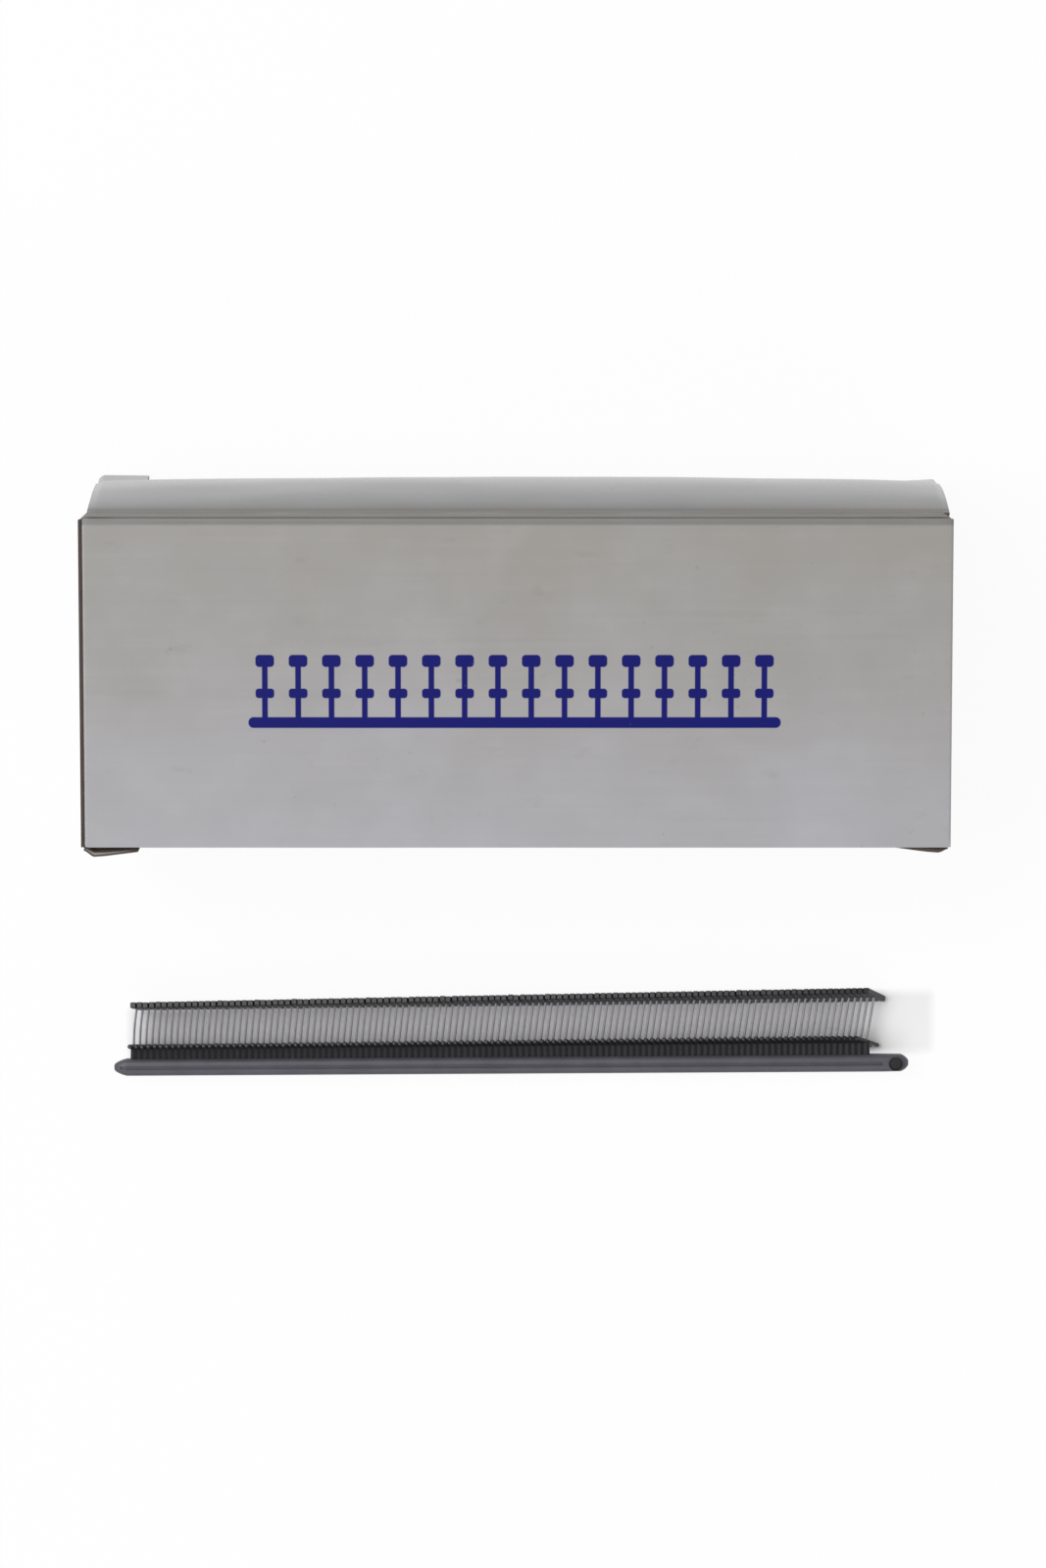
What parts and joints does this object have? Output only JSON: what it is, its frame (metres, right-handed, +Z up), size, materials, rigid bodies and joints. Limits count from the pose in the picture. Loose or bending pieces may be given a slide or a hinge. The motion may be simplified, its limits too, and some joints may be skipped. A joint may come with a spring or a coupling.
{
  "type": "pack of garment tag pins",
  "caption": "Closed tuck-end carton of thin board that holds stacked clips of micro garment tag pins, with one black plastic clip taken out and lying in front of it.",
  "frame": {"origin": "middle of the back panel's outer face, which the carton lies on", "axes": "+Z up, out of the printed front panel; +Y along the sleeve to the lid; +X to the right, along the clips"},
  "size_m": [0.135, 0.0987, 0.042],
  "materials": {
    "board": "uncoated grey-white lined board, brown raw edges",
    "pin_plastic": "black moulded plastic with a dull sheen"
  },
  "bodies": {
    "sleeve": {"back_panel": "board", "left_side_panel": "board", "right_side_panel": "board", "front_panel": "board", "glue_flap": "board", "boxed_clip_a1": "pin_plastic", "boxed_clip_a2": "pin_plastic", "boxed_clip_a3": "pin_plastic", "boxed_clip_a4": "pin_plastic", "boxed_clip_a5": "pin_plastic", "boxed_clip_a6": "pin_plastic", "boxed_clip_a7": "pin_plastic", "boxed_clip_a8": "pin_plastic", "boxed_clip_b1": "pin_plastic", "boxed_clip_b2": "pin_plastic", "boxed_clip_b3": "pin_plastic", "boxed_clip_b4": "pin_plastic", "boxed_clip_b5": "pin_plastic", "boxed_clip_b6": "pin_plastic", "boxed_clip_b7": "pin_plastic", "boxed_clip_b8": "pin_plastic", "boxed_clip_c1": "pin_plastic", "boxed_clip_c2": "pin_plastic", "boxed_clip_c3": "pin_plastic", "boxed_clip_c4": "pin_plastic", "boxed_clip_c5": "pin_plastic", "boxed_clip_c6": "pin_plastic", "boxed_clip_c7": "pin_plastic", "boxed_clip_c8": "pin_plastic"},
    "lid": {"lid_panel": "board"},
    "lid_tuck": {"lid_tuck_flap": "board"},
    "top_left_dust": {"top_left_dust_flap": "board"},
    "top_right_dust": {"top_right_dust_flap": "board"},
    "bottom": {"bottom_panel": "board"},
    "bottom_tuck": {"bottom_tuck_flap": "board"},
    "bottom_left_dust": {"bottom_left_dust_flap": "board"},
    "bottom_right_dust": {"bottom_right_dust_flap": "board"},
    "loose_clip": {"loose_clip": "pin_plastic"}
  },
  "joints": [
    {"name": "lid_hinge", "type": "hinge", "parent": "sleeve", "child": "lid", "pos_m": [0, 0.02645, 0.0411], "axis": [1, 0, 0], "range_deg": [0, 180]},
    {"name": "lid_tuck_fold", "type": "hinge", "parent": "lid", "child": "lid_tuck", "pos_m": [0, 0.027, 0.00105], "axis": [1, 0, 0], "range_deg": [0, 45]},
    {"name": "top_left_dust_hinge", "type": "hinge", "parent": "sleeve", "child": "top_left_dust", "pos_m": [-0.06725, 0.0246, 0.021], "axis": [0, 0, 1], "range_deg": [0, 90]},
    {"name": "top_right_dust_hinge", "type": "hinge", "parent": "sleeve", "child": "top_right_dust", "pos_m": [0.06725, 0.0246, 0.021], "axis": [0, 0, -1], "range_deg": [0, 90]},
    {"name": "bottom_hinge", "type": "hinge", "parent": "sleeve", "child": "bottom", "pos_m": [0, -0.02645, 0.0009], "axis": [1, 0, 0], "range_deg": [0, 70]},
    {"name": "bottom_tuck_fold", "type": "hinge", "parent": "bottom", "child": "bottom_tuck", "pos_m": [0, -0.0254, 0.04095], "axis": [1, 0, 0], "range_deg": [0, 17.5]},
    {"name": "bottom_left_dust_hinge", "type": "hinge", "parent": "sleeve", "child": "bottom_left_dust", "pos_m": [-0.06725, -0.0246, 0.021], "axis": [0, 0, -1], "range_deg": [0, 35]},
    {"name": "bottom_right_dust_hinge", "type": "hinge", "parent": "sleeve", "child": "bottom_right_dust", "pos_m": [0.06725, -0.0246, 0.021], "axis": [0, 0, 1], "range_deg": [0, 35]},
    {"name": "loose_clip_lift", "type": "slide", "parent": "sleeve", "child": "loose_clip", "axis": [0, 0, 1], "range_m": [0, 0.06]}
  ],
  "couplings": [
    {"joint": "lid_tuck_fold", "follows": "lid_hinge", "ratio": 0.25},
    {"joint": "top_left_dust_hinge", "follows": "lid_hinge", "ratio": 0.5},
    {"joint": "top_right_dust_hinge", "follows": "lid_hinge", "ratio": 0.5},
    {"joint": "bottom_tuck_fold", "follows": "bottom_hinge", "ratio": 0.25},
    {"joint": "bottom_left_dust_hinge", "follows": "bottom_hinge", "ratio": 0.5},
    {"joint": "bottom_right_dust_hinge", "follows": "bottom_hinge", "ratio": 0.5}
  ]
}
